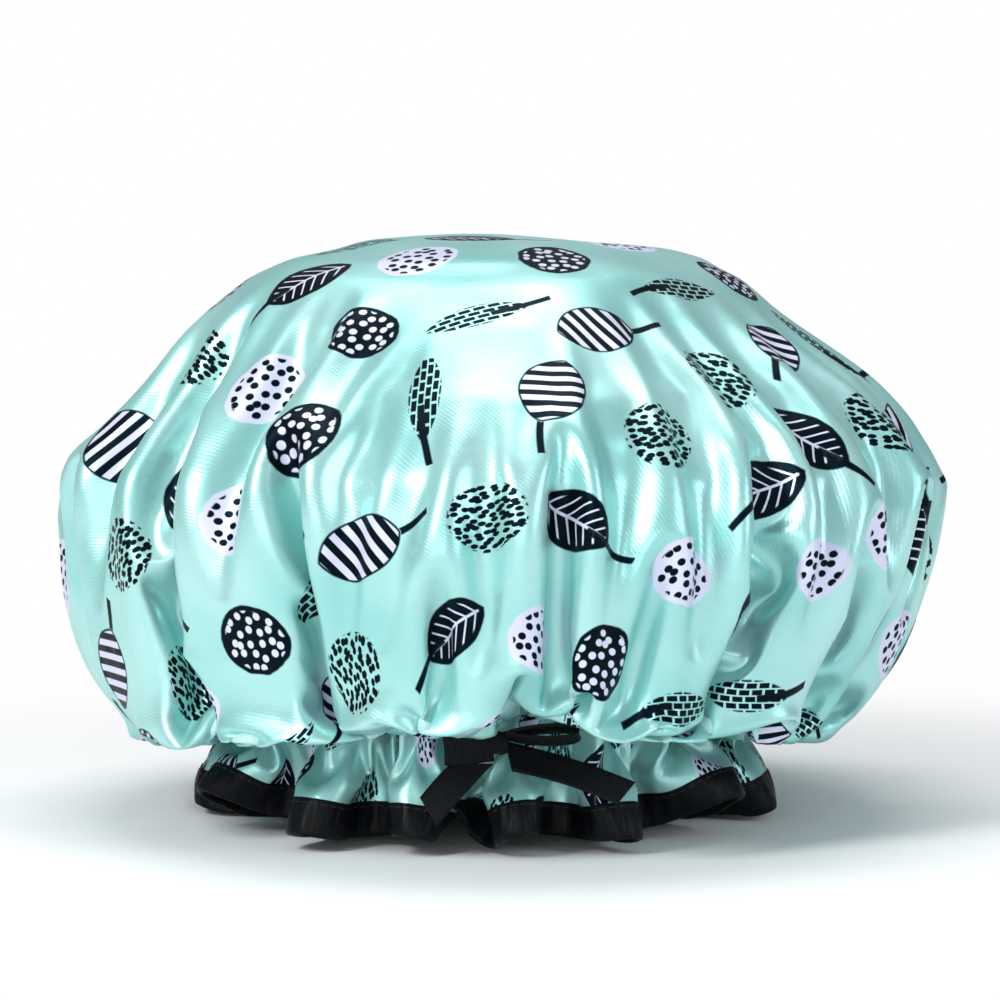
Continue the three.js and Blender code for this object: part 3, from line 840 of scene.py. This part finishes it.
def binding_satin():
    """Black satin tape: fine lines along it, and the small puckers that its stitching pulls up"""
    f = Finish("black_satin_binding")
    along, across, _ = f.parts(f.flat_place())
    place = f.joined(along, across)
    puckers = f.noise(f.joined(along * 0.55, across * 0.11), 1.6, 3)
    lines = f.noise(f.joined(along * 0.08, across * 2.2), 1, 2)
    normal = f.bumped(puckers, 0.75)
    normal = f.bumped(f.noise(place, 5, 2), 0.25, normal)
    normal = f.bumped(lines, 0.02, normal)
    # Painted shade and highlight: the black is darker in the hollows of the puckers and lighter on their
    # raised tops
    colour = f.mixed(f.soft(puckers, 0.35, 0.75), *BINDING_BLACKS)
    f.set(Base_Color=colour, Roughness=0.38 + lines * 0.12, Normal=normal, Specular_IOR_Level=0.12)
    return f.material


def grosgrain():
    """Black ribbon with its ribs across it and a fine thread along each rib"""
    f = Finish("black_grosgrain")
    along, across, _ = f.parts(f.flat_place())
    rib = abs((along * (math.pi / RIB_PITCH)).sine())
    thread = abs((across * (math.pi / 0.3) + (along / RIB_PITCH).floor() * (math.pi / 2)).sine())
    edge = f.soft(abs(across - RIBBON_WIDTH / 2), RIBBON_WIDTH / 2 - 0.7, RIBBON_WIDTH / 2 - 0.2)
    uneven = f.noise(f.joined(along, across), 3, 2)
    normal = f.bumped(rib ** 0.7 * (1 - edge * 0.6), 0.2)
    normal = f.bumped(thread * rib, 0.03, normal)
    # Painted shade and highlight: the black is darker in the grooves between the ribs and lighter on their
    # crests; the uneven share is tone at random
    colour = f.mixed(rib * 0.8 + uneven * 0.2, *RIBBON_BLACKS)
    f.set(Base_Color=colour, Roughness=0.52 + (1 - rib) * 0.2, Normal=normal, Specular_IOR_Level=0.12)
    return f.material


def waterproof_film():
    """Thin pale mint film with a fine pressed pattern, slightly shiny and cloudy"""
    f = Finish("mint_waterproof_film")
    place = f.flat_place()
    x, y, _ = f.parts(place)
    pressed = (abs((x * 2.4).sine()) * abs((y * 2.4).sine())) ** 0.5
    cloud = f.noise(place, 30, 3)
    normal = f.bumped(f.noise(place, 12, 3), 0.5)
    normal = f.bumped(pressed, 0.03, normal)
    colour = f.mixed(f.soft(cloud, 0.3, 0.7), *FILM_MINTS)
    f.set(Base_Color=colour, Roughness=0.3 + cloud * 0.15, Normal=normal, Sheen_Weight=0.1)
    return f.material


def woven_tape(name, tones, pitch):
    """Plain woven tape, with its threads over and under"""
    f = Finish(name)
    along, across, _ = f.parts(f.flat_place())
    warp = (along * (math.pi / pitch)).sine()
    weft = (across * (math.pi / pitch)).sine()
    weave = (warp * weft) * 0.5 + 0.5
    worn = f.noise(f.joined(along, across), 6, 2)
    # Partly painted shade: the tape is darker where its threads dip under each other and lighter on their
    # tops; the worn share is tone at random
    colour = f.mixed(weave * 0.6 + worn * 0.4, *tones)
    f.set(Base_Color=colour, Roughness=0.7 + worn * 0.15, Normal=f.bumped(weave, 0.12), Sheen_Weight=0.2)
    return f.material


def thread(name, tones):
    """Twisted sewing thread"""
    f = Finish(name)
    place = f.add("ShaderNodeTexCoord", output=3)
    twist = f.add("ShaderNodeTexWave", {"bands_direction": "DIAGONAL"},
                  {"Vector": place, "Scale": 900.0, "Distortion": 0.5})
    # Painted shade and highlight: the thread is darker in the grooves of its twist and lighter on its
    # strands
    f.set(Base_Color=f.mixed(twist, *tones), Roughness=0.6, Normal=f.bumped(twist, 0.05))
    return f.material


SATIN = satin_print()
BINDING = binding_satin()
GROSGRAIN = grosgrain()
FILM = waterproof_film()
CASING_TAPE = woven_tape("pale_casing_tape", CASING_WHITES, 0.45)
ELASTIC_KNIT = woven_tape("white_elastic", ELASTIC_WHITES, 0.9)
BLACK_THREAD = thread("black_thread", THREAD_BLACKS)
PALE_THREAD = thread("pale_thread", THREAD_MINTS)

# The cloth
cloth = ClothRound()
cloth.settle()
settled = cloth.points
outward = normals_of(settled, cloth.faces)
uv = cloth.flat[cloth.faces] * MM + HEM_RADIUS * MM
satin = add_mesh("satin_cap", settled, cloth.faces, uv, SATIN, levels=1)
lining = add_behind("lining", satin, 0.3 * MM, FILM)

rings = settled[cloth.ruffle]
ring_out = outward[cloth.ruffle]
row_gap = RUFFLE_DROP / RUFFLE_ROWS


def on_ruffle(down, out):
    """The ring of points that lies so far down the cloth from the neck ring, and so far out from it"""
    row = np.clip(down / row_gap, 0, RUFFLE_ROWS)
    first = min(int(row), RUFFLE_ROWS - 1)
    part = row - first
    points = rings[:, first] * (1 - part) + rings[:, first + 1] * part
    way = ring_out[:, first] * (1 - part) + ring_out[:, first + 1] * part
    way /= np.linalg.norm(way, axis=1, keepdims=True)
    past = max(0, down - RUFFLE_DROP)
    slope = rings[:, -1] - rings[:, -2]
    slope /= np.linalg.norm(slope, axis=1, keepdims=True)
    out = np.broadcast_to(out, len(points))[:, None]
    return points + slope * past + way * out


def tape(name, section, around, finish, puckers=0, puckered=(0, 0)):
    """A strip all round the ruffle. Its section says how far down and how far out each of its lines runs,
    and the lines between two places down are puckered.
    """
    start, end = puckered
    rows = [on_ruffle(down, out + (puckers if start < down < end else 0)) for down, out in section]
    across = lengths_along(np.array(section, float))
    return add_strip(name, np.stack(rows, 1), around, across, finish, face_out=False)


all_round = np.r_[0:len(rings), 0]
cut_around = lengths_along(cloth.cut[cloth.ruffle[:, -1]][all_round])
neck_around = lengths_along(rings[:, 1][all_round])
ripple = np.sin(cut_around[:-1] * 2 * math.pi / 6.1 + 2 * np.sin(cut_around[:-1] / 31))

# The binding: up its outer leg from the stitching, round the hem, and up its inner leg
top = RUFFLE_DROP - BINDING_WIDTH
binding_section = [
    (top, 0.1), (top + 0.15, 0.45), (top + 1.6, 0.36), (top + 4, 0.6), (top + 8, 0.6), (top + 10.6, 0.5),
    (top + 11.7, 0), (top + 11.7, -1), (top + 10.6, -1.6), (top + 8, -1.7), (top + 4, -1.6),
    (top + 1.6, -1.35), (top + 0.15, -1.45), (top, -1.1),
]
bound_hem = tape("bound_hem", binding_section, cut_around, BINDING, 0.22 * ripple, (top + 1, top + 9))
hem_stitches = stitches("hem_stitching", on_ruffle(top + 1.6, 0.46), *HEM_STITCH, BLACK_THREAD)

# The casing: a tape inside the lining, stitched along both its edges over the elastic
casing_section = [
    (0.2, -1.5), (0.2, -1.9), (1.6, -1.95), (3, -3.2), (6, -3.4), (8.6, -3.2), (10, -1.95), (11.4, -1.9),
    (11.4, -1.5),
]
casing = tape("elastic_casing_tape", casing_section, neck_around * CASING_FULLNESS, CASING_TAPE)
elastic_section = [(3.2, -1.8), (8.4, -1.8), (8.4, -2.7), (3.2, -2.7), (3.2, -1.8)]
elastic = tape("flat_elastic", elastic_section, neck_around, ELASTIC_KNIT)
casing_stitches = [
    stitches("casing_stitching_top", on_ruffle(1.2, -2.05), *CASING_STITCH, PALE_THREAD),
    stitches("casing_stitching_bottom", on_ruffle(10.5, -2.05), *CASING_STITCH, PALE_THREAD),
]


# The bow
def ribbon(name, plate, path, cup, slant=(0, 0)):
    """Ribbon along a path in its plate, given as how far along and how far out: both faces and edges"""
    path = np.array(path, float)
    place = lengths_along(path)
    fine = np.linspace(0, place[-1], int(place[-1] / 0.2))
    line = np.stack([np.interp(fine, place, path[:, axis]) for axis in (0, 1)], -1)
    way = np.gradient(line, axis=0)
    way /= np.linalg.norm(way, axis=1, keepdims=True)
    side = np.stack([-way[:, 1], way[:, 0]], -1)
    ribs = 0.07 * np.abs(np.sin(fine * math.pi / RIB_PITCH))
    share = fine / place[-1]
    shear = slant[0] * (1 - share) + slant[1] * share
    rows = []
    for across in np.linspace(-0.5, 0.5, 9):
        edge = across * (RIBBON_WIDTH + 2 * ribs * (abs(across) > 0.49))
        bowl = cup * (0.25 - across * across) * 4
        middle = line + side * bowl
        rows.append(plate.point(middle[:, 0] + shear * edge, edge, middle[:, 1]))
    face = np.stack(rows, 1)
    thick = RIBBON_THICKNESS * (side[:, :1] * plate.along + side[:, 1:] * plate.out)
    back = face + thick[:, None]
    section = np.concatenate([face, back[:, ::-1], face[:, :1]], 1)
    across = np.linspace(0, RIBBON_WIDTH, 9)
    widths = np.r_[across, across[::-1], 0]
    piece = add_strip(name, section, fine, widths, GROSGRAIN, closed=False, levels=0)
    fill_ends(piece)
    return piece


def fill_ends(piece):
    """Closes a strip's two cut ends"""
    mesh = bmesh.new()
    mesh.from_mesh(piece.data)
    bmesh.ops.remove_doubles(mesh, verts=mesh.verts, dist=1e-6)
    open_edges = [edge for edge in mesh.edges if edge.is_boundary]
    bmesh.ops.holes_fill(mesh, edges=open_edges, sides=0)
    bmesh.ops.recalc_face_normals(mesh, faces=mesh.faces)
    mesh.to_mesh(piece.data)
    mesh.free()


def loop_path(length, opening):
    """A loop seen along its width: out from the root, round the bend and back"""
    half, inset = opening / 2, RIBBON_THICKNESS / 2
    tip, root = length - inset, -TUCK
    share = np.linspace(0, 1, 60)[:, None]
    low = [(root, 0), (tip * 0.35, -half * 1.3), (tip, -half * 1.4), (tip, 0)]
    high = [(tip, 0), (tip, half * 1.4), (tip * 0.35, half * 1.3), (root, 0.4)]
    weights = [(1 - share) ** 3, 3 * (1 - share) ** 2 * share, 3 * (1 - share) * share**2, share**3]

    def bend(corners):
        return sum(weight * np.array(corner) for weight, corner in zip(weights, corners))

    return np.concatenate([bend(low), bend(high)[1:]])


def tail_path(length, curve):
    share = np.linspace(0, 1, 40)
    return np.stack([share * (length + TUCK) - TUCK, curve * np.sin(share * math.pi)], -1)


right_loop = ribbon("bow_right_loop", RIGHT_LOOP, loop_path(RIGHT_LOOP_LENGTH, LOOP_OPENING), LOOP_CUP)
left_loop = ribbon("bow_left_loop", LEFT_LOOP, loop_path(LEFT_LOOP_LENGTH, LOOP_OPENING), LOOP_CUP)
right_tail_path = tail_path(RIGHT_TAIL_LENGTH, RIGHT_TAIL_CURVE)
right_tail = ribbon("bow_right_tail", RIGHT_TAIL, right_tail_path, TAIL_CUP, RIGHT_TAIL_SLANT)
left_tail_path = tail_path(LEFT_TAIL_LENGTH, LEFT_TAIL_CURVE)
left_tail = ribbon("bow_left_tail", LEFT_TAIL, left_tail_path, TAIL_CUP, LEFT_TAIL_SLANT)


def knot():
    """The ribbon's wrap round the middle: its ribs run across the bow, and it is pinched in a few creases"""
    wide, deep, high = KNOT_SIZE
    around = np.linspace(0, 2 * math.pi, KNOT_ROUND + 1)[:-1]
    rows = []
    for share in np.linspace(-1, 1, KNOT_ALONG):
        end = np.clip(1 - abs(share) ** 9, 0, 1) ** 0.5
        swell = (0.90 + 0.10 * np.cos(share * 1.5)) * (0.55 + 0.45 * end)
        crease = 0.16 * np.cos(share * 7 + 1.2 * np.sin(around)) * (1 - abs(share) ** 4)
        square = (np.abs(np.cos(around)) ** 2.6 + np.abs(np.sin(around)) ** 2.6) ** (-1 / 2.6)
        y = (deep / 2 + crease) * square * np.cos(around) * swell
        z = (high / 2 + crease) * square * np.sin(around) * swell
        rows.append(np.stack([np.full_like(y, share * wide / 2), y, z], -1))
    rows = np.stack(rows, 1) + KNOT_MIDDLE
    girth = lengths_along(rows[:, KNOT_ALONG // 2][np.r_[0:KNOT_ROUND, 0]])
    across = np.linspace(0, RIBBON_WIDTH, KNOT_ALONG)
    return add_strip("bow_knot_wrap", rows, girth, across, GROSGRAIN)


bow_knot = knot()
tacking_line = np.array([(-3.4, -98.2, 31.2), (-1.6, -98.2, 30.7), (0.2, -98.2, 31.2)])
knot_stitches = stitches("bow_tacking", tacking_line, *TACK_STITCH, BLACK_THREAD, closed=False)

# What each piece stands for, and a finish name for it that nothing reads; every piece rides on the one body
PIECES = [
    (satin, "satin_shell", "satin_print"),
    (lining, "waterproof_lining", "lining"),
    (casing, "elastic_casing", "lining"),
    (elastic, "elastic_band", "elastic"),
    (bound_hem, "hem_binding", "binding_satin"),
    (bow_knot, "bow_knot", "grosgrain"),
    (right_loop, "bow_loop_right", "grosgrain"),
    (left_loop, "bow_loop_left", "grosgrain"),
    (right_tail, "bow_tail_right", "grosgrain"),
    (left_tail, "bow_tail_left", "grosgrain"),
    (hem_stitches, None, "binding_satin"),
    (knot_stitches, None, "grosgrain"),
    *[(row, None, "lining") for row in casing_stitches],
]
for piece, solid, finish in PIECES:
    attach(piece, BODY)
    if solid:
        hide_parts(solid)

# The room: a pale floor that runs into a white background, soft lamps and the camera
BACKGROUND = 1.0


def seen_directly(f):
    """1 for rays that show the background: from the camera, in reflections and through glass"""
    path = f.add("ShaderNodeLightPath")
    outputs = path.socket.node.outputs
    rays = [Wire(outputs[name]) for name in ("Is Camera Ray", "Is Glossy Ray", "Is Transmission Ray")]
    return rays[0].most(rays[1]).most(rays[2])


def mixed_shader(tree, share, first, second):
    node = tree.nodes.new("ShaderNodeMixShader")
    plug(node.inputs[0], share)
    tree.links.new(first, node.inputs[1])
    tree.links.new(second, node.inputs[2])
    return node.outputs[0]


def floor():
    """Shows its shadows near the cap, runs into white farther out, and is clear from below"""
    bpy.ops.mesh.primitive_circle_add(vertices=96, radius=3, fill_type="NGON")
    piece = bpy.context.object
    piece.name = "floor"
    f = Finish("pale_floor")
    x, y, _ = f.parts(f.add("ShaderNodeTexCoord", output=3))
    away = (x * x + y * y).root()
    f.set(Base_Color=(0.92, 0.925, 0.93, 1), Roughness=0.85)
    white = f.add("ShaderNodeEmission", inputs={"Color": (1, 1, 1, 1), "Strength": BACKGROUND})
    shown = f.soft(away, 0.12, 0.42) * seen_directly(f)
    above = mixed_shader(f.tree, shown, f.surface.outputs[0], white.socket)
    from_below = f.add("ShaderNodeNewGeometry", output=6)
    clear = f.add("ShaderNodeBsdfTransparent")
    both = mixed_shader(f.tree, from_below, above, clear.socket)
    f.tree.links.new(both, f.tree.nodes["Material Output"].inputs["Surface"])
    piece.data.materials.append(f.material)


def world(strength):
    scene_world = bpy.data.worlds.new("soft_white")
    scene_world.use_nodes = True
    tree = scene_world.node_tree
    light = tree.nodes["Background"]
    light.inputs["Color"].default_value = (0.93, 0.97, 1, 1)
    light.inputs["Strength"].default_value = strength
    shown = tree.nodes.new("ShaderNodeBackground")
    shown.inputs["Color"].default_value = (1, 1, 1, 1)
    shown.inputs["Strength"].default_value = BACKGROUND
    path = tree.nodes.new("ShaderNodeLightPath")
    rays = Wire(path.outputs["Is Camera Ray"]).most(Wire(path.outputs["Is Transmission Ray"]))
    both = mixed_shader(tree, rays, light.outputs[0], shown.outputs[0])
    tree.links.new(both, tree.nodes["World Output"].inputs["Surface"])
    bpy.context.scene.world = scene_world


def aim(piece, place, target):
    piece.location = place
    piece.rotation_euler = (target - place).to_track_quat("-Z", "Y").to_euler()


def lamp(name, place, size, power, colour=(1, 1, 1), target=(0, 0, 0.09)):
    light = bpy.data.lights.new(name, "AREA")
    light.shape = "RECTANGLE"
    light.size, light.size_y = size
    light.energy, light.color = power, colour
    aim(placed(name, light), Vector(place), Vector(target))


def camera(target=(-0.0016, 0, 0.099), distance=1.25, elevation=4, width=0.32):
    view = bpy.data.cameras.new("front")
    view.lens = view.sensor_width * distance / width
    piece = placed("front", view)
    rise = math.radians(elevation)
    target = Vector(target)
    aim(piece, target + Vector((0, -math.cos(rise), math.sin(rise))) * distance, target)
    bpy.context.scene.camera = piece


floor()
world(0.28)
lamp("key_left", (-0.9, -1.0, 1.0), (0.35, 0.6), 17)
lamp("fill_right", (1.2, -0.8, 0.6), (0.5, 0.8), 6.5, (0.88, 0.95, 1))
lamp("top", (0, 0.2, 1.4), (0.9, 0.6), 9)
lamp("low_front", (-0.2, -1.3, 0.25), (0.9, 0.25), 3)
camera()
bpy.context.scene.view_settings.view_transform = "Standard"
